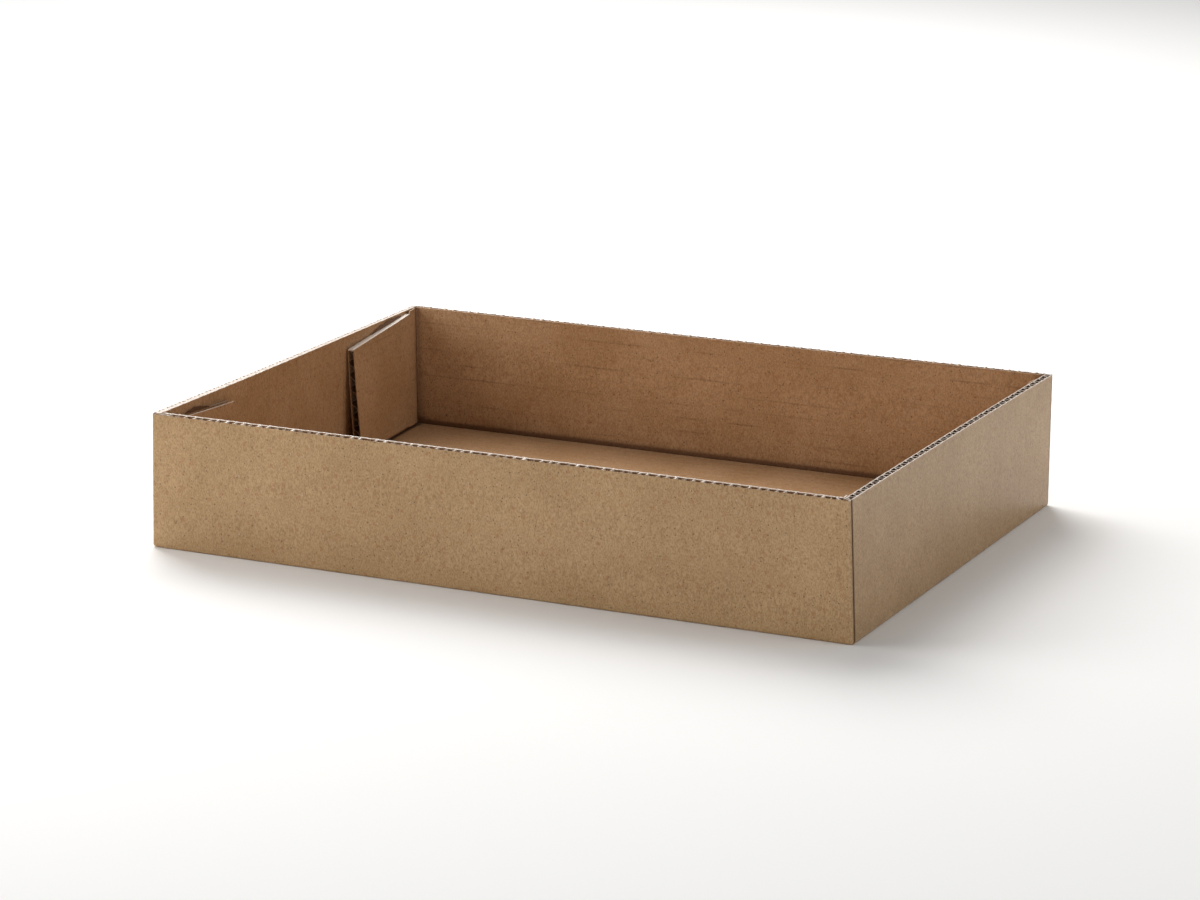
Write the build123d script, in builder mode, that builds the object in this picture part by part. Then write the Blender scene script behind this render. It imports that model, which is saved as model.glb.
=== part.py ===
from build123d import *
import math
import os

# A shallow open tray folded and glued from one sheet of A-flute corrugated board.
# Origin: middle of the underside. +X runs along the length, +Y across, +Z up.
# The flutes of the flat sheet run along X: so they lie along X in the bottom and the two
# side walls, stand upright in the two end walls, and lie along Y in the four glued tabs.

# Outside of the folded tray, in mm
length = 460.0
width = 336.0
height = 85.0

# Corrugated board: two flat liners and a wavy medium between them
caliper = 5.0
liner = 0.3
medium = 0.25
flute_pitch = 9.0
flank_angle = 55.0
crown_radius = 1.1

# Folds: the scored board is crushed solid there
fold_radius = 3.0
corner_radius = 2.6
crease = 3.0

# Corners: the side walls wrap the cut edges of the end walls
corner_inset = 0.6
crushed_end = 3.2
corner_slot = 0.4

# Corner tabs, hinged on the ends of the side walls and glued inside the end walls
tab_reach = 92.0
tab_gap = 0.6
tab_root = 1.7
tab_crease = 19.0
tab_lift = 1.0
tab_shoulder = 15.0
tab_shoulder_run = 1.5
tab_step = 4.5
tab_taper = 7.5

# How far below the rim the topmost outer flute is centred, so that the rim cuts it open
rim_flute_drop = 2.0
# Least board left between a flute and the end of its panel, and overshoot of a cut
skin = 0.5
past = 1.0

# Derived places
half_length = length / 2
half_width = width / 2
cell_height = caliper - 2 * liner - medium
flank = math.radians(flank_angle)
cell_half = (flute_pitch / 2 + (caliper - 2 * liner) / math.tan(flank) - medium / math.sin(flank)) / 2
tab_outside = caliper + tab_gap
tab_inside = tab_outside + caliper
flutes_start = caliper + crease
end_half_width = half_width - crushed_end - corner_slot
tab_crease_end = caliper + tab_crease
tab_low_top = height - tab_step - tab_taper


def centres(first, low, high):
    """Flute centres one pitch apart, counted both ways from first, whose cells lie from low to high."""
    count = math.ceil((high - low + abs(first)) / flute_pitch) + 1
    places = [first + k * flute_pitch for k in range(-count, count + 1)]
    return [place for place in places if low <= place - cell_half and place + cell_half <= high]


def flute_cells(outer, inner):
    """Cells under the waves (base on the outer liner) and over them (base on the inner liner).

    The board's outer face is the local X axis, and its thickness is along local Y.
    """
    with BuildSketch() as cell:
        Trapezoid(2 * cell_half, cell_height, flank_angle, align=(Align.CENTER, Align.MIN))
        fillet(cell.vertices().group_by(Axis.Y)[-1], crown_radius)
    with BuildSketch() as cells:
        with Locations(*[(place, liner) for place in outer]):
            add(cell.sketch)
        with Locations(*[Location((place, caliper - liner), (0, 0, 180)) for place in inner]):
            add(cell.sketch)
    return cells.sketch


# Across the width: the bottom and the end walls share one row of flutes
across = end_half_width - skin
width_cells = flute_cells(centres(0, -across, across), centres(flute_pitch / 2, -across, across))
bottom_across = half_width - flutes_start
bottom_cells = flute_cells(
    centres(0, -bottom_across, bottom_across),
    centres(flute_pitch / 2, -bottom_across, bottom_across),
)

# Up the side walls: the rim cuts the topmost flute of each side open
top_outer = height - rim_flute_drop
top_inner = top_outer + flute_pitch / 2
above_rim = height + flute_pitch
height_cells = flute_cells(
    centres(top_outer, flutes_start, above_rim - skin),
    centres(top_inner, flutes_start, above_rim - skin),
)
tab_top = tab_low_top - skin
tab_cells = flute_cells(
    centres(top_outer, flutes_start, tab_top),
    centres(top_inner, flutes_start, tab_top),
)

with BuildPart() as tray:
    # Bottom and side walls, with rounded folds along the length
    with BuildSketch(Plane.YZ) as side_section:
        Rectangle(width, height, align=(Align.CENTER, Align.MIN))
        fillet(side_section.vertices().group_by(Axis.Y)[0], fold_radius)
        with Locations((0, caliper)):
            Rectangle(
                width - 2 * caliper,
                height,
                align=(Align.CENTER, Align.MIN),
                mode=Mode.SUBTRACT,
            )
    extrude(amount=half_length - corner_inset, both=True)

    # Upright corner folds: the outside of each side wall's ends is rounded
    end_faces = tray.faces().filter_by(Axis.X)
    outer_edges = [
        edge
        for edge in end_faces.edges()
        if abs(edge.center().Y) > half_width - fold_radius and edge.center().Z < height - caliper
        and abs(edge.center().Y) > half_width - caliper + past
    ]
    fillet(outer_edges, corner_radius)

    # The ends of the side walls are crushed thinner, to lap over the end walls' cut edges
    with BuildSketch(Plane.XY.offset(caliper)) as lap:
        for x_side in (-1, 1):
            for y_side in (-1, 1):
                with Locations(
                    (
                        x_side * (half_length - tab_outside / 2),
                        y_side * (half_width - (caliper + crushed_end) / 2),
                    )
                ):
                    Rectangle(tab_outside, caliper - crushed_end)
    extrude(amount=height, mode=Mode.SUBTRACT)

    # Bottom and end walls, with rounded folds across the width
    with BuildSketch(Plane.XZ) as end_section:
        Rectangle(length, height, align=(Align.CENTER, Align.MIN))
        fillet(end_section.vertices().group_by(Axis.Y)[0], fold_radius)
        with Locations((0, caliper)):
            Rectangle(
                length - 2 * caliper,
                height,
                align=(Align.CENTER, Align.MIN),
                mode=Mode.SUBTRACT,
            )
    extrude(amount=end_half_width, both=True)

    # The slots of the flat blank, which part each end wall from the tabs beside it
    with BuildSketch() as slots:
        for x_side in (-1, 1):
            for y_side in (-1, 1):
                with Locations(
                    (
                        x_side * (half_length - (tab_outside - past) / 2),
                        y_side * (half_width - crushed_end - corner_slot / 2),
                    )
                ):
                    Rectangle(tab_outside + past, corner_slot)
    extrude(amount=height, mode=Mode.SUBTRACT)

    # Corner tabs
    for x_side in (-1, 1):
        for y_side in (-1, 1):
            with BuildSketch(Plane.XY.offset(caliper + tab_lift)) as tab_plan:
                with BuildLine():
                    Polyline(
                        *[
                            (x_side * (half_length - inward), y_side * (half_width - along))
                            for inward, along in (
                                (tab_outside, crushed_end - liner),
                                (tab_outside, tab_reach),
                                (tab_inside, tab_reach),
                                (tab_inside, tab_crease_end),
                                (tab_outside + tab_root, caliper),
                                (tab_outside + tab_root, crushed_end - liner),
                            )
                        ],
                        close=True,
                    )
                make_face()
            extrude(amount=height - caliper - tab_lift)

    # Tab tops: a short full-height shoulder, a step, and a taper down to the free end
    tops = [
        (half_width - caliper - tab_shoulder, height),
        (half_width - caliper - tab_shoulder - tab_shoulder_run, height - tab_step),
        (half_width - tab_reach, tab_low_top),
        (half_width - tab_reach - past, tab_low_top),
        (half_width - tab_reach - past, height + past),
        (half_width - caliper - tab_shoulder, height + past),
    ]
    for x_side in (-1, 1):
        tab_middle = x_side * (half_length - (tab_outside + tab_inside) / 2)
        for y_side in (-1, 1):
            with BuildSketch(Plane.YZ.offset(tab_middle)) as tab_relief:
                with BuildLine():
                    Polyline(*[(y_side * y, z) for y, z in tops], close=True)
                make_face()
            extrude(amount=(caliper + tab_gap) / 2, both=True, mode=Mode.SUBTRACT)

    # Flutes of the bottom, closed at both ends by the creases
    bottom_run = length - 2 * flutes_start
    with BuildSketch(Plane((-bottom_run / 2, 0, 0), x_dir=(0, 1, 0), z_dir=(1, 0, 0))):
        add(bottom_cells)
    extrude(amount=bottom_run, mode=Mode.SUBTRACT)

    # Flutes of the end walls, open at the rim
    for x_side in (-1, 1):
        end_plane = Plane((x_side * half_length, 0, flutes_start), x_dir=(0, x_side, 0), z_dir=(0, 0, 1))
        with BuildSketch(end_plane):
            add(width_cells)
        extrude(amount=height, mode=Mode.SUBTRACT)

    # Flutes of the side walls, closed at the corner creases
    side_run = length - 2 * (tab_inside + crease)
    for y_side in (-1, 1):
        side_start = (-y_side * side_run / 2, y_side * half_width, 0)
        with BuildSketch(Plane(side_start, x_dir=(0, 0, 1), z_dir=(y_side, 0, 0))):
            add(height_cells)
        extrude(amount=side_run, mode=Mode.SUBTRACT)

    # Flutes of the tabs, open at their free ends
    tab_run = tab_reach - tab_crease_end + past
    for x_side in (-1, 1):
        for y_side in (-1, 1):
            tab_start = (
                x_side * (half_length - tab_outside),
                y_side * (half_width - tab_crease_end),
                0,
            )
            with BuildSketch(Plane(tab_start, x_dir=(0, 0, 1), z_dir=(0, -x_side, 0))):
                add(tab_cells)
            extrude(amount=x_side * y_side * tab_run, mode=Mode.SUBTRACT)

tray.part.label = "tray"
os.makedirs("parts", exist_ok=True)
export_step(tray.part, "parts/tray.step")
print("solids", len(tray.part.solids()), "volume mm3", round(tray.part.volume, 1))
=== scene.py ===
# %% [markdown]
# # A corrugated cardboard tray box
# The real object is one sheet of corrugated board, cut, creased and folded into an open tray.
# Two long side walls and two end walls stand up from the bottom. Each side wall goes on round
# its two corners as a tab, which is glued to the inside of the end wall.
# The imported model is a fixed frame: it gives the size and the place of everything below.

# %% Load the frame
import math

import bpy
import numpy as np
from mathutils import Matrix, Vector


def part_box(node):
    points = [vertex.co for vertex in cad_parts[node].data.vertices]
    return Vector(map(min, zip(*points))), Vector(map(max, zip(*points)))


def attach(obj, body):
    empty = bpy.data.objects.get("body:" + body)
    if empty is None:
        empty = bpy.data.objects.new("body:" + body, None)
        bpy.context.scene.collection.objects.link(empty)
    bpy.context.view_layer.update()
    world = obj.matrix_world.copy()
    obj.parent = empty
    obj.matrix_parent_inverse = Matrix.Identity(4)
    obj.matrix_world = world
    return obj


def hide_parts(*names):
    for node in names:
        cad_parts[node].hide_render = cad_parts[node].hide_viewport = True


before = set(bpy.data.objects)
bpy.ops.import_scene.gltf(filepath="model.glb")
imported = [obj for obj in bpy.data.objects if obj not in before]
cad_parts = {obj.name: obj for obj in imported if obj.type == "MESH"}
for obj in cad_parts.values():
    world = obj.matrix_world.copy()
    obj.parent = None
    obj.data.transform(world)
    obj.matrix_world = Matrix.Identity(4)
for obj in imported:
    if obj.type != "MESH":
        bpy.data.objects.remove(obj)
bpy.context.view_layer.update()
box_low, box_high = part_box("tray")
MM = 0.001
length = (box_high.x - box_low.x) / MM
width = (box_high.y - box_low.y) / MM
height = (box_high.z - box_low.z) / MM
half_length = length / 2
half_width = width / 2
print("tray", round(length, 1), "x", round(width, 1), "x", round(height, 1), "mm")

# %% [markdown]
# The board is a sandwich: an outer liner, a wavy medium and an inner liner. Everything below is
# written in millimetres with these few numbers, and turned to metres when a mesh is made.
# The end walls' cut edges stand wall_edge inside the side walls' outer faces, the tabs' bottom
# edges hang tab_floor above the table, and saw_pitch is the tooth spacing of the rim's knife.

# %% The board
board = 5.0
liner = 0.42
medium = 0.3
pitch = 9.0
fold_radius = 1.8
wall_edge = 2.5
tab_floor = 6.8
saw_teeth = 80
saw_pitch = length / saw_teeth
print("flutes across the bottom:", round((width - 2 * wall_edge) / pitch, 1))

# %% [markdown]
# A folded box is never quite square. Its end walls lean in a little at the top, its side walls
# stand a little in at the bottom, and the long rims bow. One function moves every point by
# those few millimetres, so all the pieces stay together as they would on one sheet.

# %% Lean and bow
lean_left = 3.5
lean_right = 1.5
twist_right = 1.0
tuck_front = 2.5
tuck_back = 2.1
bow_end = 0.8
bow_side = 0.5
pinch = 0.35
pinch_reach = 220.0
pinch_depth = 14.0
pinch_fade = 60.0


def settle(points):
    """Move points as the folded card stands: along x the lean of each end grows with height, along y
    the tuck of each side grows towards the bottom, and a parabola along each rim adds the bow. The end
    wall and its tab are pressed together at the top of the back left corner and stand apart at its foot."""
    x = points[..., 0]
    y = points[..., 1]
    up = np.clip(points[..., 2] / height, 0, 1)
    across = x / length
    deep = y / width
    moved = np.array(points, float)
    from_left = x + half_length
    inward = np.clip(from_left, 0, pinch_depth) * np.clip(1.25 - from_left / pinch_fade, 0, 1)
    near_back = np.clip(1 - (half_width - board - y) / pinch_reach, 0, 1)
    lean_here = lean_right - 2 * twist_right * deep
    moved[..., 0] += pinch * (1 - 2 * up) * near_back * inward
    moved[..., 0] += up * (lean_left * (0.5 - across) - lean_here * (0.5 + across))
    moved[..., 0] -= up * bow_end * (1 - (y / half_width) ** 2) * x / half_length
    moved[..., 1] += (1 - up) * (tuck_front * (0.5 - deep) - tuck_back * (0.5 + deep))
    moved[..., 1] -= up * bow_side * (1 - (x / half_length) ** 2) * y / half_width
    return moved


print("a top corner moves to", settle(np.array([-half_length, -half_width, height])).round(2))

# %% [markdown]
# Every piece here is thin board or paper, so one maker serves them all: two grids of points, one
# for each face, joined all round their edge into a closed skin. The signed volume says whether
# the faces look outwards, and turns them round if they don't. Each point also carries its place
# on the flat sheet as a UV map, in metres, and three numbers that the finish reads: how freshly
# cut the paper is there, which also paints a pale highlight on the corner folds; how hard it was
# creased, which also carries the shade painted into gaps, corners and open flutes; and whether it
# faces the inside of the box, which is painted warmer for the light bounced between the walls.

# %% Two grids make a closed plate
sharp_angle = 38.0
mark_names = ("cut", "crease", "inside")


def grid_faces(rows, columns, first):
    """The four-sided faces between neighbouring points of a grid whose points are counted row by row."""
    corner = first + np.arange(rows * columns).reshape(rows, columns)
    faces = np.stack([corner[:-1, :-1], corner[:-1, 1:], corner[1:, 1:], corner[1:, :-1]], -1)
    return faces.reshape(-1, 4)


def edge_faces(rows, columns):
    """A ring of faces that joins the border of the first grid to the border of the second."""
    corner = np.arange(rows * columns).reshape(rows, columns)
    border = np.concatenate([corner[0, :-1], corner[:-1, -1], corner[-1, :0:-1], corner[:0:-1, 0]])
    after = np.roll(border, -1)
    second = rows * columns
    return np.stack([after, border, border + second, after + second], -1)


def signed_volume(points, faces):
    """The sum over the faces of a sixth of the box product of each triangle's corners."""
    a, b, c, d = (points[faces[:, k]] for k in range(4))
    first = np.einsum("ij,ij->i", a, np.cross(b, c))
    second = np.einsum("ij,ij->i", a, np.cross(c, d))
    return (first.sum() + second.sum()) / 6


def plate(name, front, back, sheet, **marks):
    """A closed skin round two grids (rows, columns, 3) in millimetres. sheet is each point's place on the
    flat card. Each mark (cut, crease, inside) is a pair of values or grids from 0 to 1, one for the front
    and one for the back. The cut mark also paints a highlight on the corner folds, and the crease mark
    also carries painted shade. The whole skin is then settled."""
    rows, columns = front.shape[:2]
    points = settle(np.concatenate([front.reshape(-1, 3), back.reshape(-1, 3)])) * MM
    count = rows * columns
    other = grid_faces(rows, columns, count)[:, ::-1]
    faces = np.concatenate([grid_faces(rows, columns, 0), other, edge_faces(rows, columns)])
    if signed_volume(points, faces) < 0:
        faces = faces[:, ::-1]
    mesh = bpy.data.meshes.new(name)
    mesh.from_pydata(points.tolist(), [], faces.tolist())
    mesh.update()
    flat = np.broadcast_to(sheet, (rows, columns, 2)).reshape(-1, 2) * MM
    uv = np.concatenate([flat, flat])[faces.reshape(-1)]
    mesh.uv_layers.new(name="paper").data.foreach_set("uv", uv.reshape(-1))
    for label in mark_names:
        pair = marks.get(label, (0.0, 0.0))
        values = [np.broadcast_to(value, (rows, columns)).reshape(-1) for value in pair]
        layer = mesh.attributes.new(label, "FLOAT", "POINT")
        layer.data.foreach_set("value", np.concatenate(values).astype(np.float32))
    mesh.shade_smooth()
    mesh.set_sharp_from_angle(angle=math.radians(sharp_angle))
    piece = bpy.data.objects.new(name, mesh)
    bpy.context.collection.objects.link(piece)
    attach(piece, "root")
    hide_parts("tray")
    print(name, len(faces) * 2, "triangles", round(abs(signed_volume(points, faces)) * 1e6, 2), "cm3")
    return piece


# %% [markdown]
# Hand-cut card is never ruler straight. A few sines of unrelated length, added together, wander
# like that and give the same line every time. The washboard is the faint print of the flutes
# through the liner: a ripple of a few hundredths of a millimetre, one wave for each flute.

# %% Wander and washboard


def wander(along, seed, wave=23.0):
    """A slow irregular number from -1 to 1: three sines whose wavelengths don't divide one another."""
    a = np.sin(2 * np.pi * along / wave + 1.7 * seed)
    b = np.sin(2 * np.pi * along / (wave * 0.413) + 3.1 * seed)
    c = np.sin(2 * np.pi * along / (wave * 0.187) + 5.3 * seed)
    return (a + 0.7 * b + 0.5 * c) / 2.2


def washboard(across, depth=0.05):
    """The liner sinks between the crests that hold it: a cosine of the flute pitch."""
    return depth * np.cos(2 * np.pi * across / pitch)


def grid(down, along):
    """Two arrays that hold, at each point of a grid, its row value and its column value."""
    return np.meshgrid(np.asarray(down, float), np.asarray(along, float), indexing="ij")


sample = wander(np.arange(500.0), 1)
print("wander runs from", sample.min().round(2), "to", sample.max().round(2))

# %% [markdown]
# The bottom and both end walls are one strip of card bent up at two creases, with its flutes
# running the long way. Its two liners are carried along the bent line as two thin plates. The
# line is straight runs joined by arcs that touch them.

# %% A bent line


def unit(vector):
    return vector / np.linalg.norm(vector)


def turn_left(vectors):
    """A quarter turn to the left in the plane."""
    return np.stack([-vectors[..., 1], vectors[..., 0]], -1)


def bent_line(corners, radius, spacing, arc_steps=6):
    """Straight runs joined by arcs: each corner is cut back by radius times the tangent of half its turn.
    Returns points, left-hand normals and the distance along."""
    corners = [np.array(corner, float) for corner in corners]
    points = []
    normals = []
    start = corners[0]
    for before, corner, after in zip(corners, corners[1:], corners[2:]):
        heading = unit(corner - before)
        leaving = unit(after - corner)
        turn = math.atan2(heading[0] * leaving[1] - heading[1] * leaving[0], heading @ leaving)
        meet = corner - heading * radius * math.tan(abs(turn) / 2)
        steps = max(2, int(np.linalg.norm(meet - start) / spacing))
        share = np.linspace(0, 1, steps + 1)[:-1, None]
        points.append(start + (meet - start) * share)
        normals.append(np.repeat(turn_left(heading)[None], steps, 0))
        angle = turn * np.linspace(0, 1, arc_steps + 1)
        side = math.copysign(1, turn)
        facing = np.cos(angle)[:, None] * turn_left(heading) - np.sin(angle)[:, None] * heading
        centre = meet + side * radius * turn_left(heading)
        points.append((centre - side * radius * facing)[:-1])
        normals.append(facing[:-1])
        start = centre - side * radius * facing[-1]
    heading = unit(corners[-1] - start)
    steps = max(2, int(np.linalg.norm(corners[-1] - start) / spacing))
    points.append(start + (corners[-1] - start) * np.linspace(0, 1, steps + 1)[:, None])
    normals.append(np.repeat(turn_left(heading)[None], steps + 1, 0))
    points = np.concatenate(points)
    gaps = np.linalg.norm(np.diff(points, axis=0), axis=1)
    return points, np.concatenate(normals), np.concatenate([[0], np.cumsum(gaps)])


# Distances from each end of the bent line that need points of their own: two just under the cut
# rim, and a close row on the floor under the tabs.
rim_steps = np.array([0.3, 0.9])
tab_foot_steps = height - board + np.arange(1.5, 14.0, 1.5)


def with_close_rows(line, normals, along, steps):
    """Add close points at some distances from each end of a line, where a colour has to end sharply."""
    wanted = np.concatenate([along, steps, along[-1] - np.array(steps)])
    wanted = np.unique(wanted.round(6))
    take = [np.interp(wanted, along, column) for column in (*line.T, *normals.T)]
    return np.stack(take[:2], -1), np.stack(take[2:], -1), wanted


# %% [markdown]
# Each liner is the bent line carried across the width. At the rims the cut paper spreads into a
# small burr. Where a tab hangs over the floor the paper is marked dark, since the narrow gap
# there is in shade. A tab's foot stands off the end wall, most of all at the back left.

# %% The liners of the bottom and the end walls
flute_steps = 8
floor_gap = 1.2
tab_start = 26.0
tab_foot = 5.8
loose_foot = 6.0
glued_foot = 1.5
twist_run = 75.0
usual_reach = 92.0
wall_columns = np.linspace(-1, 1, int((width - 2 * wall_edge) / pitch * flute_steps))


def under_tabs(x, y):
    """How deep in shade the floor is: fully under a tab, whose foot stands further off the end wall towards
    its free end."""
    from_wall = half_length - board - np.abs(x)
    v = half_width - np.abs(y)
    twist = np.where((x < 0) & (y > 0), loose_foot, glued_foot)
    foot = tab_foot + twist * np.clip((v - tab_start) / twist_run, 0, 1)
    return np.clip((foot - from_wall) / 1.5 + 0.5, 0, 1) * (v < usual_reach)


def end_strip_liner(name, inset, radius, thickness, bottom_half, ripple, inside):
    """One liner of the strip: the bent line carried across the width. The half width passes from the end
    walls' cut edges to the bottom's creases round the bend."""
    x = half_length - inset
    corners = [(-x, height), (-x, inset), (x, inset), (x, height)]
    steps = np.append(rim_steps, tab_foot_steps)
    line, normals, along = with_close_rows(*bent_line(corners, radius, 7.0), steps)
    low = np.clip((line[:, 1] - inset) / fold_radius, 0, 1)
    half = bottom_half + (half_width - wall_edge - bottom_half) * low
    rows, columns = grid(along, wall_columns)
    across = columns * half[:, None]
    on_wall = np.clip((line[:, 1] - height + 0.3) / 0.3, 0, 1)[:, None]
    ragged = 0.16 * wander(across, inset + np.sign(line[:, :1]), 11.0) - 0.16
    depth = washboard(across, ripple) * np.clip((height - line[:, 1:]) / 6, 0, 1)
    edge = np.clip(1 - (height - line[:, 1]) / 0.24, 0, 1)[:, None]
    grids = []
    burr = 0.35 * math.copysign(1, thickness) * edge[..., None]
    for offset in (0.0, thickness + burr):
        place = line[:, None, :] + normals[:, None, :] * (offset + depth[..., None])
        grids.append(np.stack([place[..., 0], across, place[..., 1] + on_wall * ragged], -1))
    # Painted shade through the crease mark: a line in the inner fold of the bottom, which is a real crease
    # too, a band beside the end walls' cut edges in the corner seams, and the floor under the tabs.
    crease = np.exp(-((line[:, 1] - inset - 1.0) / 1.6) ** 2) * (np.abs(line[:, 0]) > x - 3) * inside
    seam_gap_shade = np.clip(1.6 - (half[:, None] - np.abs(across)), 0, 1) * (line[:, 1:] > inset + fold_radius)
    crease = np.maximum(crease[:, None], 0.8 * seam_gap_shade)
    crease = np.maximum(crease, under_tabs(line[:, :1], across) * (line[:, 1:] < inset + 2) * inside)
    sheet = np.stack([rows - along[-1] / 2, across], -1)
    # The liner's back face, inside the board, is painted fully dark as the shade in the flutes.
    marks = {"cut": (edge, edge), "crease": (crease, 1.0), "inside": (inside, 1)}
    return plate(name, *grids, sheet, **marks)


end_strip_liner("end_strip_outer_liner", 0.02, fold_radius, liner, half_width - fold_radius, 0.02, 0)
end_strip_liner("end_strip_inner_liner", board, 0.6, -liner, half_width - board - floor_gap, 0.06, 1)

# %% [markdown]
# Between the liners runs the medium: a strip of paper pressed into waves and glued crest by
# crest. It shows along the rims of the end walls, where the flutes are cut across and stand
# open, so it goes down the whole wall as a real waved sheet. The saw leaves each flute a little
# crushed and no two quite alike.

# %% The waved medium of the end walls
steepness = 1.35


def wave(across, seed):
    """The medium's place between the liners, from 0 to 1: a cosine steepened on its flanks, with a pitch and
    a height that wander a little."""
    phase = 2 * np.pi * (across + 0.5 * wander(across, seed, 61.0)) / pitch
    swing = 0.5 * np.tanh(steepness * np.cos(phase)) / np.tanh(steepness)
    return 0.5 + swing * (0.97 - 0.05 * (1 + wander(across, seed + 2, 37.0)))


def end_wall_medium(name, side, burr):
    """The waved sheet of one end wall: its line across the board, given the paper's thickness along its own
    normal and carried down the wall. The knife spreads its cut edge by the burr."""
    across = np.linspace(wall_edge - half_width + 0.3, half_width - wall_edge - 0.3, 560)
    room = board - 2 * liner - medium
    deep = liner + medium / 2 + room * wave(across, side)
    slope = np.gradient(deep, across)
    lean_x = slope / np.sqrt(1 + slope ** 2)
    lean_y = 1 / np.sqrt(1 + slope ** 2)
    down = np.array([height - 0.15, height - 0.45, height - 2.2, 60, 35, fold_radius + 5])
    rows, columns = grid(down, across)
    ragged = np.where(rows > height - 0.5, 0.2 * wander(columns, 4 + side, 5.0) - 0.1, 0)
    grids = []
    edge = np.clip((rows - height + 0.45) / 0.3, 0, 1)
    half = (medium + burr * edge) / 2
    for face in (-1, 1):
        x = side * (half_length - deep - face * half * lean_y)
        y = columns - face * half * lean_x
        grids.append(np.stack([x, y, rows + ragged], -1))
    sheet = np.stack([rows, columns], -1)
    # The medium is painted dark as the shade in the open flutes where it shows.
    return plate(name, *grids, sheet, cut=(edge, edge), crease=(0.7, 0.7), inside=(1, 1))


end_wall_medium("end_wall_medium_left", -1, 0.5)
end_wall_medium("end_wall_medium_right", 1, 0.4)


def crushed_strip(name, side):
    """The flutes of one end wall pressed flat by the knife: a strip between the liners, a little below their
    edge, that sinks at every open flute."""
    across = np.linspace(wall_edge - half_width + 0.5, half_width - wall_edge - 0.5, 420)
    rows, columns = grid([0.12, 0.5, 0.88], across)
    sink = 0.12 + 0.4 * (1 - np.cos(2 * np.pi * columns / (pitch / 2)) * np.cos(np.pi * rows)) / 2
    x = side * (half_length - board * rows)
    top = np.stack([x, columns, height - sink], -1)
    foot = np.stack([x, columns, height - sink - 0.8], -1)
    return plate(name, top, foot, np.stack([rows, columns], -1), cut=(0.9, 0.9))


crushed_strip("end_wall_left_crushed_strip", -1)

# %% [markdown]
# Each side wall is one closed skin. Its plan runs from inside one end wall, round the crushed
# corner, along the side, round the other corner and in again, where the tabs start. Two plan
# lines are needed: one for the outside of the card and one for the inside. At every point the
# skin's profile, from the rounded bottom fold over the rim and down inside, is laid between them.

# %% The plan of a side wall
corner_inset = 0.3
corner_radius = 1.5
crushed = 1.7
tab_root = 5.4
tooth_points = 9
# Each tab line is a list of distances in from the side plane, then of distances in from the end plane.
tab_outside = ([crushed, 8.0, 28.0, 60.0, 100.0], [5.1, 5.3, 5.5, 5.6, 5.6])
tab_inside = (
    [5.4, 7.0, 12.0, 19.0, 28.0, 39.0, 60.0, 100.0],
    [6.4, 7.8, 9.3, 10.2, 10.6, 10.8, 10.9, 11.0],
)


def half_plan():
    """The first half of the plan, from the tab to the middle of the wall, as distances in from the end plane
    (u) and from the side plane (v): outside line, inside line, and how far each point belongs to the tab."""
    beyond_step = np.linspace(tab_start, 19.6, 4)[:-1]
    over_step = np.linspace(19.6, 16.8, 14)
    before_step = np.linspace(16.4, 4.0, 12)
    v = np.concatenate([beyond_step, over_step, before_step])
    tab_out = np.stack([np.interp(v, *tab_outside), v], -1)
    v_in = tab_root + (v - v[-1]) * (tab_start - tab_root - 0.4) / (tab_start - v[-1]) + 0.4
    tab_in = np.stack([np.interp(v_in, *tab_inside), v_in], -1)
    u = np.linspace(5.0, corner_inset, 5)
    lap_out = np.stack([u, np.full(5, crushed)], -1)
    angle = np.linspace(0, np.pi / 2, 9)[:-1]
    arc_u = corner_inset + corner_radius * (1 - np.cos(angle))
    arc_v = corner_radius * (1 - np.sin(angle))
    arc_out = np.stack([arc_u, arc_v], -1)
    share = np.linspace(0, 1, 13)
    bend_in = np.stack([tab_in[-1, 0] + 0.1 + 1.5 * share, board + 0.4 * (1 - share) ** 2], -1)
    steps = int(half_length / (saw_pitch / tooth_points))
    u = np.linspace(corner_inset + corner_radius, half_length, steps)
    run_out = np.stack([u, np.zeros(steps)], -1)
    u_in = np.interp(u, [u[0], 16, half_length], [bend_in[-1, 0] + 0.2, 16, half_length])
    run_in = np.stack([u_in, np.full(steps, board)], -1)
    outside = np.concatenate([tab_out, lap_out, arc_out, run_out])
    inside = np.concatenate([tab_in, bend_in, run_in])
    belongs = np.concatenate([np.ones(len(v)), np.linspace(0.8, 0, 5), np.zeros(8 + steps)])
    return outside, inside, belongs


plan_out, plan_in, plan_tab = half_plan()
print("plan points", len(plan_out), len(plan_in))

# %% [markdown]
# The top of a tab is cut lower than the rim, so that it can tuck in: it keeps full height for a
# short shoulder, drops in one small step, and then tapers to its free end.

# %% The top line of a tab
step_start = 17.4
step_run = 1.3
# For each tab, by side (-1 front, 1 back) and end (-1 left, 1 right): how far its shoulder stands below
# the rim, the height after the step, the reach, and the height of its free end.
tab_cut = {
    (-1, -1): (3.4, 79.0, 79.0, 76.0),
    (-1, 1): (2.2, 81.5, usual_reach, 75.5),
    (1, -1): (0.0, 83.2, 102.0, 76.0),
    (1, 1): (2.2, 81.5, usual_reach, 75.5),
}


def tab_top(v, shoulder, after_step, reach, end_height):
    """The shoulder's height, then a steep step, then a straight taper to the free end."""
    end = step_start + step_run
    stations = [crushed, 4.0, step_start, end, reach]
    return np.interp(v, stations, [height, height - shoulder, height - shoulder, after_step, end_height])
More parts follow.
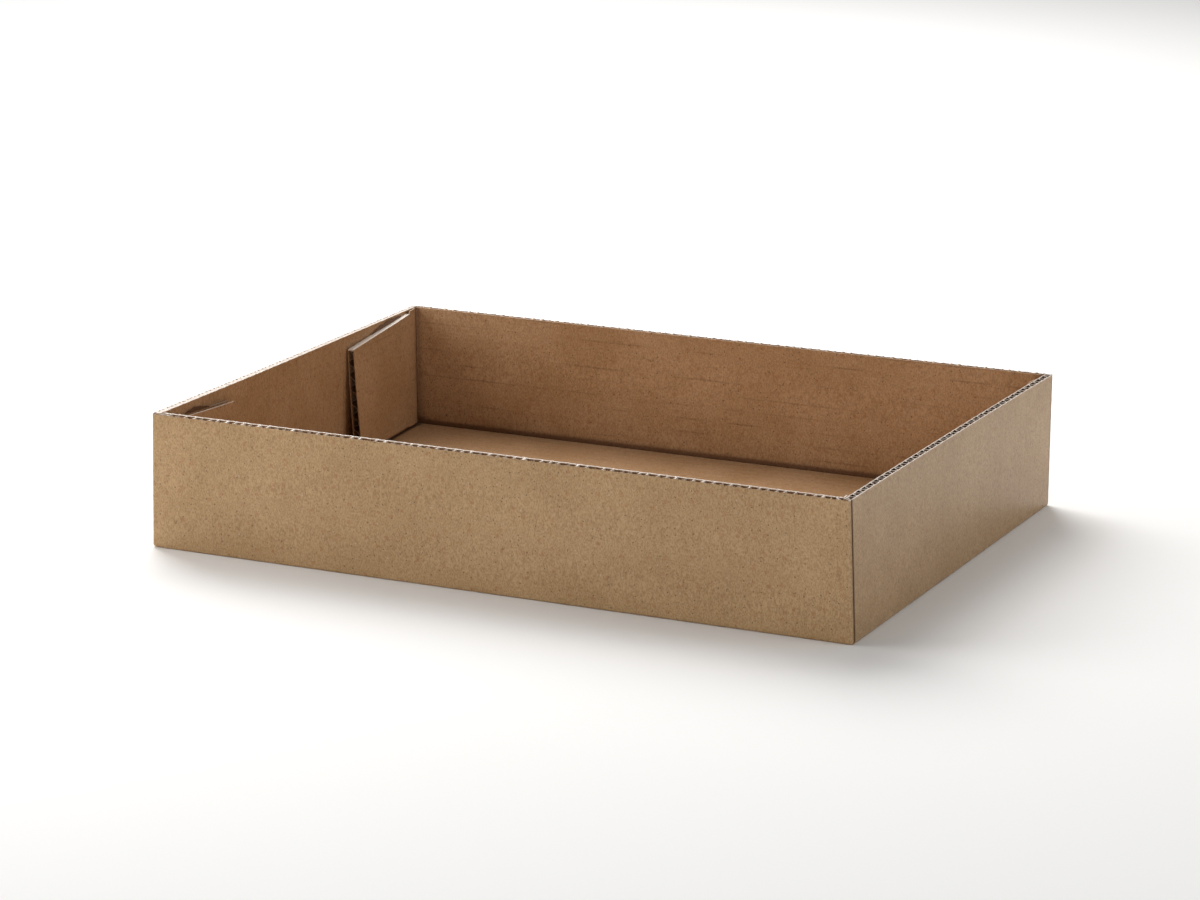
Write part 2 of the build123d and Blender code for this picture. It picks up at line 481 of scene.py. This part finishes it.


# %% [markdown]
# The skin has two profiles, one up the outside of the card and one up the inside, and they meet on
# the rim. A profile is a list of shares, 0 on the outside line and 1 on the inside line, with
# heights. The rim's rows come last: rim_drop is how far below the top each row stands, groove is
# how far it sinks where the knife left the rim open, and the opened lists say how much painted
# shade darkens the open flutes there. outer_lip is how far the outer liner is cut back in those gaps.

# %% The profile of a side wall
fold_angle = np.linspace(0, np.pi / 2, 7)
wash_rows = np.arange(5.0, height - 2.5, pitch / 5)
rim_out = np.array([0.0, 0.0, 0.0, 0.05, 0.07, 0.12, 0.3, 0.44])
rim_in = np.array([1.0, 1.0, 1.0, 0.78, 0.76, 0.75, 0.68, 0.50])
rim_drop = np.array([0.9, 0.3, 0.0, 0.0, 0.0, 0.0, 0.0, 0.0])
groove = np.array([0.0, 0.0, 0.0, 0.0, 0.3, 1.0, 1.0, 1.0])
opened = np.clip(4 * groove, 0, 1)
opened_outer = np.array([0.0, 0.0, 0.5, 1.0, 1.0, 1.0, 1.0, 1.0])
outer_lip = 0.42
face_q = np.concatenate([fold_radius * (1 - np.sin(fold_angle)) / board, np.zeros(len(wash_rows))])
face_z = np.concatenate([fold_radius * (1 - np.cos(fold_angle)), wash_rows])
inner_q = np.ones(len(face_q))
inner_z = np.concatenate([np.linspace(3.0, 4.9, 7), wash_rows])
print("profile rows", len(face_q) + len(rim_out), "a side")


def saw_cut(along, seed):
    """How deep the rim is open between its liners, in millimetres: the toothed knife leaves a pale bridge of
    crushed paper once every tooth, and an open gap of uneven length between, which is painted dark as shade."""
    tooth = (along + 0.9 * wander(along, seed, 29.0)) / saw_pitch
    bridge = np.clip((np.cos(2 * np.pi * tooth) - 0.62 + 0.3 * wander(along, seed + 5, 19.0)) / 0.2, 0, 1)
    return 0.15 + 2.0 * (1 - bridge), bridge


def side_wall(name, side, paleness):
    """One side wall with the roots of its tabs. The point at share q between the plan's two lines is
    outside + q (inside - outside), and its height comes from the profile. The corner folds are worn a
    little pale and painted paler as a highlight, the seam beside them and the laps in it are painted
    dark as shade, and the cut rim is as pale as its paleness says. The inner face is painted darker
    as shade along its foot, at the tabs' bends and in the inside corners."""
    ends = []
    for end in (-1, 1):
        x_out = end * (half_length - plan_out[:, 0])
        x_in = end * (half_length - plan_in[:, 0])
        y_out = side * (half_width - plan_out[:, 1])
        y_in = side * (half_width - plan_in[:, 1])
        top = tab_top(np.where(plan_tab > 0.9, plan_out[:, 1], 0), *tab_cut[side, end])
        ends.append(np.stack([x_out, y_out, x_in, y_in, plan_tab, top, plan_out[:, 1]]))
    columns = np.concatenate([ends[0], ends[1][:, -2::-1]], 1)
    x_out, y_out, x_in, y_in, tab, top, v = columns[:, None, :]
    travel = np.hypot(np.diff(columns[0], prepend=columns[0, 0]), np.diff(columns[1], prepend=columns[1, 0]))
    along = (np.cumsum(travel) - travel.sum() / 2)[None, :]
    opening, bridge = saw_cut(along, side)
    flat_top = (tab > 0.9) * (v > 18.6)
    bridge = np.maximum(bridge, flat_top)
    opening = np.where(flat_top, 0.15, opening)
    paleness = np.maximum(paleness, flat_top)
    gap = 1 - bridge
    shape = np.ones((1, columns.shape[1]))
    # The corner folds are worn pale and painted paler still as a highlight, strongest by the corner.
    corner_share = np.exp(-((half_length - np.abs(x_out) - 1.5) / 1.9) ** 2) * (tab < 0.1) * shape
    grids = []
    cuts_and_highlight = []
    gaps = []
    for q, z, rim_q, outer in ((face_q, face_z, rim_out, True), (inner_q, inner_z, rim_in, False)):
        rise = z[:, None] * shape
        on_tab = tab_floor + (rise - z[0]) / (z[-1] - z[0]) * (top - 2.0 - tab_floor)
        rise = (1 - tab) * rise + tab * on_tab
        ragged = 0.14 * wander(along, side + 2 * outer, 9.0) - 0.14
        lip = top - rim_drop[:, None] + ragged * (rim_drop[:, None] < 0.2) - outer * outer_lip * gap
        lip = lip - groove[:, None] * (opening + 0.15 * wander(along, 7 + side, 3.1))
        place = np.concatenate([rise, lip])
        fold = 1 - tab if outer else shape
        full = np.concatenate([q[:, None] * fold, rim_q[:, None] * shape])
        relief = washboard(place, 0.02 if outer else 0.06) * (place < height - 4)
        inward = full + relief / board * (1 if outer else -1)
        x = x_out + inward * (x_in - x_out)
        y = y_out + inward * (y_in - y_out)
        grids.append(np.stack([x, y, place], -1))
        # Worn paleness and a painted highlight on the outside of the corner folds.
        rub_and_highlight = 0.25 * corner_share * outer * np.ones((len(q), 1))
        rim_cut = paleness * (rim_drop < 0.2)[:, None] * (1 - opened[:, None] * gap) * (1 - 0.9 * outer * gap)
        cuts_and_highlight.append(np.concatenate([rub_and_highlight, np.maximum(rim_cut, rub_and_highlight[0])]))
        # The laps round each corner sit in the seam's narrow gap and are painted dark as shade.
        seam = 0.7 * outer * ((tab > 0) & (tab < 0.9))
        lap_shade = seam + 0.5 * outer * (tab == 0) * (half_length - np.abs(x_out) < 0.5)
        # The rim's open flutes are painted dark as shade.
        open_flute_shade = opened_outer if outer else opened
        gaps.append(np.concatenate([lap_shade * np.ones((len(q), 1)), 0.65 * open_flute_shade[:, None] * gap]))
    sheet = np.stack([np.broadcast_to(along, grids[0].shape[:2]), side * (half_width + grids[0][..., 2])], -1)
    # Painted shade on the inner face: a band along its foot in the fold's valley, a line at each tab's bend,
    # which is a real crease too, and a patch in each inside corner by an end wall.
    low = np.exp(-(np.clip(grids[1][..., 2] - 5.0, 0, 99) / 3.2) ** 2) * (1 - tab)
    low = np.clip(1.3 * low, 0, 1)
    bend = np.exp(-((v - 3.0) / 3.5) ** 2) * (tab > 0.05)
    corner_shade = 0.45 * np.exp(-(np.clip(half_length - np.abs(x_in) - 8, 0, 99) / 5) ** 2) * (tab < 0.05)
    creases = (gaps[0], np.clip(low + bend + corner_shade + gaps[1], 0, 1))
    return plate(name, *grids, sheet, cut=cuts_and_highlight, crease=creases, inside=(0, 1))


side_wall("side_wall_front", -1, 1.0)
side_wall("side_wall_back", 1, 0.35)

# %% [markdown]
# The rest of each tab stands free of the end wall by a little, so its layers can be seen: at its
# free end the flutes are cut across and show as a zigzag, and along its sloping top the knife
# has crushed the medium into a pale strip. It is made of two liners, a waved medium and that
# strip, all between the tab's outside and inside lines.

# %% Tabs
# By side and end again: how far the foot of the free end stands off the wall; how deep and how
# pale the crushed strip is, a strip of paleness 0 being painted dark as shade; and where the outer
# liner is torn up into a ridge painted dark as shade, as its start, its stop and its rise. A rise
# of 0 is no tear.
tab_twist = {(-1, -1): glued_foot, (-1, 1): glued_foot, (1, -1): loose_foot, (1, 1): glued_foot}
tab_opening = {(-1, -1): (2.0, 0.0), (-1, 1): (0.12, 1.0), (1, -1): (0.12, 1.0), (1, 1): (0.12, 1.0)}
no_tear = (0.0, 1.0, 0.0)
torn = {(-1, -1): (28.0, 58.0, 2.2), (-1, 1): no_tear, (1, -1): (22.0, 70.0, 2.4), (1, 1): no_tear}


def tab_layer(name, side, end, shares, bottom, drop, rows, columns, pale=1.0, waved=False):
    """One layer of a tab: a grid over its height and reach, placed at a share of the way from the tab's
    outside line to its inside line. The medium's share swings with the height."""
    reach = tab_cut[side, end][2]
    v = np.append(np.linspace(tab_start - 0.2, reach - 0.3, columns - 1), reach)
    part = np.linspace(0, 1, rows)
    if bottom is None:
        part = np.append(np.linspace(0, 0.992, rows - 2), [0.995, 1.0])
    share, along = grid(part, v)
    top = tab_top(along, *tab_cut[side, end]) - drop
    start, stop, rise = torn[side, end]
    lens = np.sin(np.pi * np.clip((along - start) / (stop - start), 0, 1)) * (shares[-1] < 0.1)
    lens = rise * np.clip(lens * (1 + 0.35 * wander(along, 3, 17.0)), 0, 1.2)
    top = top + lens
    foot = np.full_like(top, tab_floor) if bottom is None else top - bottom
    z = foot + share * (top - foot)
    flare = tab_twist[side, end] * np.clip((along - tab_start) / twist_run, 0, 1) * (1 - z / height)
    out = np.interp(along, *tab_outside) + flare
    inn = np.interp(along, *tab_inside) + flare
    swing = 0.0
    if waved:
        phase = 2 * np.pi * (z + 0.8 * wander(z, end + side, 31.0)) / pitch
        swing = 0.43 * np.tanh(steepness * np.cos(phase))
    relief = washboard(z, 0.05) * (shares[0] > 0.8)
    grids = []
    for q in shares:
        u = out + (q + swing) * (inn - out) + relief
        grids.append(np.stack([end * (half_length - u), side * (half_width - along), z], -1))
    near_top = np.clip(1 - (top - z) / 0.3, 0, 1)
    edge = pale * (np.ones_like(z) if bottom is not None else near_top)
    edge = edge * (1 - np.clip(lens / 0.3, 0, 1))
    # Painted shade: the torn ridge, and a band along the tab's foot over its small gap to the floor.
    ridge_shade = np.clip((z - top + lens + 0.6) / 0.4, 0, 1) * np.clip(lens / 0.3, 0, 1)
    under = np.maximum(np.clip(1 - (z - foot) / 0.6, 0, 1), ridge_shade)
    sheet = np.stack([end * (half_length + along), side * (half_width + z)], -1)
    # The medium, and a crushed strip that is not pale, are painted dark as the shade between the liners.
    dark = 0.9 if waved or pale < 0.5 else 0.0
    free_end = along > reach - 0.1
    if waved:
        edge = np.maximum(edge, 0.45 * free_end)
    shade = np.maximum(dark, under)
    return plate(name, *grids, sheet, cut=(edge, edge), crease=(shade, shade), inside=(1, 1))


def tab(name, side, end):
    """The four layers of one tab."""
    drop, pale = tab_opening[side, end]
    tab_layer(name + "_outer_liner", side, end, (0.0, 0.08), None, 0.0, 90, 60)
    tab_layer(name + "_inner_liner", side, end, (0.89, 1.0), None, 0.0, 46, 30)
    tab_layer(name + "_medium", side, end, (0.475, 0.525), None, drop + 0.5, 140, 30, 0.0, waved=True)
    tab_layer(name + "_cut_top", side, end, (0.06, 0.94), 0.9, drop, 3, 60, pale)


tab("tab_front_left", -1, -1)
tab("tab_front_right", -1, 1)
tab("tab_back_left", 1, -1)
tab("tab_back_right", 1, 1)
card = [piece for piece in bpy.data.objects if piece.type == "MESH" and "paper" in piece.data.uv_layers]
print(len(card), "pieces of card,", sum(len(piece.data.polygons) for piece in card) * 2, "triangles")

# %% [markdown]
# Kraft liner is unbleached brown paper: long wood fibres with shorter, darker and paler ones in
# the pulp. Close to, it has a fine grain, a cloudy tone a few centimetres across, and a
# scatter of dark specks. It is fairly smooth, with a calendered sheen at a grazing angle.

# %% Colours and node helper


def srgb(code):
    """An sRGB hex colour as linear red, green and blue with an alpha of 1."""
    parts = [int(code[k:k + 2], 16) / 255 for k in (1, 3, 5)]
    return [p / 12.92 if p <= 0.04045 else ((p + 0.055) / 1.055) ** 2.4 for p in parts] + [1.0]


def add(tree, kind, links=(), **settings):
    """Add one node: settings name its properties or, for a key such as in_Scale or in_2, its input sockets;
    links is a list of (input, output socket) pairs."""
    node = tree.nodes.new(kind)
    for key, value in settings.items():
        if key.startswith("in_"):
            name = key[3:].replace("_", " ")
            node.inputs[int(name) if name.isdigit() else name].default_value = value
        else:
            setattr(node, key, value)
    for name, output in links:
        tree.links.new(node.inputs[name], output)
    return node


def ramp(tree, source, low, high, low_value=0.0, high_value=1.0):
    """A smooth passage of a number from one value to another between two limits."""
    node = add(tree, "ShaderNodeMapRange", [("Value", source)], interpolation_type="SMOOTHSTEP",
               in_1=low, in_2=high, in_3=low_value, in_4=high_value)
    return node.outputs[0]


def blend_colour(tree, factor, under, over, mode="MIX"):
    """One colour laid over another by a factor. Each is a socket or a fixed colour."""
    node = add(tree, "ShaderNodeMix", data_type="RGBA", blend_type=mode)
    for slot, value in ((0, factor), (6, under), (7, over)):
        if isinstance(value, bpy.types.NodeSocket):
            tree.links.new(node.inputs[slot], value)
        else:
            node.inputs[slot].default_value = value
    return node.outputs[2]


# %% [markdown]
# The finish is laid up from the paper: clouds, then mottle and grain, three kinds of flecks, the
# lines of the flutes, the creases and last the cut edges. Every pattern size is in millimetres.

# %% The kraft board finish
grain_size = 0.8
mottle_size = 2.4
cloud_size = 45.0
outside_dark = "#B3936A"
outside_light = "#BB9B72"
inside_bounce_dark = "#B79068"
inside_bounce_light = "#C39D77"
mottle_tint = "#E4D9CE"
grain_tint = "#CCBFB0"
warm_fleck = "#9A5F3A"
pale_fleck = "#C9C2BC"
dark_fleck = "#4C3423"
washboard_shade_colour = "#4A2D1A"
crease_brown = "#53301B"
cut_pale_and_highlight = "#DFD3C8"
cut_brown_and_highlight = "#C8B6A3"


def flecks(tree, sheet, spacing, radius, share):
    """Soft round flecks: of cells with this spacing in millimetres, a share holds one dot of this radius."""
    cells = add(tree, "ShaderNodeTexVoronoi", [("Vector", sheet)], voronoi_dimensions="2D",
                in_Scale=1000 / spacing)
    parts = add(tree, "ShaderNodeSeparateColor", [(0, cells.outputs["Color"])])
    dot = ramp(tree, cells.outputs["Distance"], 0.4 * radius / spacing, 1.2 * radius / spacing, 1, 0)
    chosen = ramp(tree, parts.outputs[0], 1 - share - 0.01, 1 - share + 0.01)
    return add(tree, "ShaderNodeMath", [(0, dot), (1, chosen)], operation="MULTIPLY").outputs[0]


def washboard_shade_lines(tree, sheet, cloud):
    """Painted shade of the washboard: a thin dark line at each flute, broken where the clouds are light."""
    across = add(tree, "ShaderNodeSeparateXYZ", [(0, sheet)]).outputs[1]
    turns = add(tree, "ShaderNodeMath", [(0, across)], operation="MULTIPLY", in_1=1000 / pitch)
    saw = add(tree, "ShaderNodeMath", [(0, turns.outputs[0])], operation="PINGPONG", in_1=0.5)
    line = ramp(tree, saw.outputs[0], 0.03, 0.09, 1, 0)
    return add(tree, "ShaderNodeMath", [(0, line), (1, cloud)], operation="MULTIPLY").outputs[0]


def kraft_board():
    """Unbleached kraft liner with freshly cut edges: a fine upright grain, mottle, clouds and flecks."""
    material = bpy.data.materials.new("kraft_board_unbleached")
    material.use_nodes = True
    tree = material.node_tree
    tree.nodes.clear()
    place = add(tree, "ShaderNodeTexCoord").outputs["Object"]
    sheet = add(tree, "ShaderNodeUVMap", uv_map="paper").outputs[0]
    mark = {k: add(tree, "ShaderNodeAttribute", attribute_name=k).outputs["Fac"] for k in mark_names}
    # Clouds a few centimetres across, a grain of upright fibres and a mottle between the two
    cloud = add(tree, "ShaderNodeTexNoise", [("Vector", place)], in_Scale=1000 / cloud_size, in_Detail=2.0)
    upright = add(tree, "ShaderNodeMapping", [("Vector", place)], in_Scale=(1, 1, 0.55))
    grain = add(tree, "ShaderNodeTexNoise", [("Vector", upright.outputs[0])], in_Scale=1000 / grain_size,
                in_Detail=2.0, in_Roughness=0.7)
    mottle = add(tree, "ShaderNodeTexNoise", [("Vector", upright.outputs[0])], in_Scale=1000 / mottle_size,
                 in_Detail=2.0)
    stretched = add(tree, "ShaderNodeMapping", [("Vector", sheet)], in_Scale=(25, 110, 1))
    broken = add(tree, "ShaderNodeTexNoise", [("Vector", stretched.outputs[0])], in_Scale=1.0, in_Detail=2.0)
    # The paper itself, painted a little warmer inside the box for the light bounced between its walls,
    # then darkened by its mottle and grain
    cloudy = ramp(tree, cloud.outputs[0], 0.3, 0.7)
    colour = blend_colour(tree, cloudy, srgb(outside_dark), srgb(outside_light))
    inner = blend_colour(tree, cloudy, srgb(inside_bounce_dark), srgb(inside_bounce_light))
    colour = blend_colour(tree, mark["inside"], colour, inner)
    mottled = ramp(tree, mottle.outputs[0], 0.4, 0.7, 0, 0.35)
    colour = blend_colour(tree, mottled, colour, srgb(mottle_tint), "MULTIPLY")
    grained = ramp(tree, grain.outputs[0], 0.35, 0.7, 0, 0.8)
    colour = blend_colour(tree, grained, colour, srgb(grain_tint), "MULTIPLY")
    # Wood fibres in the pulp: broad warm ones, and small pale and dark specks
    warm = ramp(tree, flecks(tree, sheet, 9.0, 1.6, 0.45), 0, 1, 0, 0.30)
    colour = blend_colour(tree, warm, colour, srgb(warm_fleck))
    pale = ramp(tree, flecks(tree, sheet, 7.3, 0.5, 0.18), 0, 1, 0, 0.3)
    colour = blend_colour(tree, pale, colour, srgb(pale_fleck))
    dark = ramp(tree, flecks(tree, sheet, 5.3, 0.5, 0.26), 0, 1, 0, 0.7)
    colour = blend_colour(tree, dark, colour, srgb(dark_fleck))
    # The washboard of the inner liner is painted as broken dark lines of shade, one at each flute
    lines = washboard_shade_lines(tree, sheet, ramp(tree, broken.outputs[0], 0.45, 0.75, 0, 0.32))
    lines = add(tree, "ShaderNodeMath", [(0, lines), (1, mark["inside"])], operation="MULTIPLY").outputs[0]
    colour = blend_colour(tree, lines, colour, srgb(washboard_shade_colour))
    # Creases are dark, and so is the shade painted into gaps, corners, open flutes and under the tabs.
    # Freshly cut edges are pale torn fibre, and the corner folds take a little of it as a painted highlight.
    colour = blend_colour(tree, ramp(tree, mark["crease"], 0.05, 1.0, 0, 0.8), colour, srgb(crease_brown))
    fibres_and_highlight = blend_colour(tree, ramp(tree, grain.outputs[0], 0.35, 0.65), srgb(cut_pale_and_highlight), srgb(cut_brown_and_highlight))
    colour = blend_colour(tree, ramp(tree, mark["cut"], 0.15, 0.9), colour, fibres_and_highlight)
    # A relief of less than a tenth of a millimetre breaks up the sheen of the smooth paper
    heights = [(0, grain.outputs[0]), (1, mottle.outputs[0])]
    relief = add(tree, "ShaderNodeMath", heights, operation="ADD").outputs[0]
    bump = add(tree, "ShaderNodeBump", [("Height", relief)], in_Strength=0.4, in_Distance=0.00008)
    shader = add(tree, "ShaderNodeBsdfPrincipled", [("Base Color", colour), ("Normal", bump.outputs[0])],
                 in_Roughness=0.36, in_IOR=1.38)
    add(tree, "ShaderNodeOutputMaterial", [("Surface", shader.outputs[0])])
    return material


board_finish = kraft_board()
for piece in card:
    piece.data.materials.append(board_finish)
for node_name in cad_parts:
    print("CAD node", node_name, "is replaced")

# %% [markdown]
# A plain pale floor and soft studio light show the card without colouring it.

# %% Floor and light
floor_mesh = bpy.data.meshes.new("studio_floor")
floor_half = 14.0
floor_corners = [(x * floor_half, y * floor_half, 0) for x, y in ((-1, -1), (1, -1), (1, 1), (-1, 1))]
floor_mesh.from_pydata(floor_corners, [], [(0, 1, 2, 3)])
floor = bpy.data.objects.new("studio_floor", floor_mesh)
bpy.context.collection.objects.link(floor)
paper = bpy.data.materials.new("matt_white_backdrop")
paper.use_nodes = True
paper.node_tree.nodes["Principled BSDF"].inputs["Base Color"].default_value = srgb("#F4F3F1")
paper.node_tree.nodes["Principled BSDF"].inputs["Roughness"].default_value = 0.9
floor.data.materials.append(paper)

world_strength = 0.12
world = bpy.data.worlds.new("studio")
world.use_nodes = True
world.node_tree.nodes["Background"].inputs[0].default_value = (1.0, 1.0, 1.0, 1.0)
world.node_tree.nodes["Background"].inputs[1].default_value = world_strength
bpy.context.scene.world = world


def turned(azimuth, elevation):
    """The unit vector from the object towards a point seen at this azimuth and elevation, in degrees. Azimuth
    0 is straight in front of the long side, and it grows towards the right-hand end."""
    a = math.radians(azimuth)
    e = math.radians(elevation)
    return np.array([math.sin(a) * math.cos(e), -math.cos(a) * math.cos(e), math.sin(e)])


def aim(thing, position, backward, roll=0.0):
    """Put a lamp or camera at a position with its back along a direction, rolled by a few degrees."""
    right = unit(np.cross([0, 0, 1.0], backward))
    up = np.cross(backward, right)
    c = math.cos(math.radians(roll))
    s = math.sin(math.radians(roll))
    columns = np.stack([c * right + s * up, c * up - s * right, backward], 1)
    for row in range(3):
        for column in range(3):
            thing.matrix_world[row][column] = columns[row, column]
        thing.matrix_world[row][3] = position[row]


def softbox(name, azimuth, elevation, distance, size, watts):
    """A square area lamp that faces the middle of the tray."""
    lamp = bpy.data.lights.new(name, "AREA")
    lamp.shape = "SQUARE"
    lamp.size = size
    lamp.energy = watts
    thing = bpy.data.objects.new(name, lamp)
    thing.visible_camera = False
    bpy.context.collection.objects.link(thing)
    backward = turned(azimuth, elevation)
    aim(thing, backward * distance + np.array([0, 0, height * MM / 2]), backward)
    return thing


# Azimuth and elevation in degrees, distance and size in metres, power in watts
softbox("light_front_left", -60, 25, 1.2, 0.7, 5.7)
softbox("light_front_low", 15, 7, 2.6, 0.7, 13)
softbox("light_right", 95, 28, 2.4, 1.4, 12)
softbox("light_top", 0, 88, 2.4, 1.8, 7)
softbox("light_back_right", 140, 12, 0.52, 0.2, 0.09)
softbox("light_back_left", 225, 45, 2.4, 1.8, 73)

# %% [markdown]
# The camera looks down a little and from the right, with a long lens as for a catalogue picture.

# %% Camera
camera_azimuth = 25.437
camera_elevation = 14.605
camera_roll = 0.157
camera_distance = 2.4745
aim_point = np.array([-0.01626, 0.02030, 0.042])
camera_data = bpy.data.cameras.new("catalogue_camera")
camera_data.lens = 118.7
camera_data.sensor_width = 36.0
camera_data.clip_end = 60.0
camera = bpy.data.objects.new("catalogue_camera", camera_data)
bpy.context.collection.objects.link(camera)
back_direction = turned(camera_azimuth, camera_elevation)
aim(camera, aim_point + back_direction * camera_distance, back_direction, camera_roll)
bpy.context.scene.camera = camera
bpy.context.scene.view_settings.view_transform = "Standard"
print("camera at", [round(v, 3) for v in camera.matrix_world.translation])
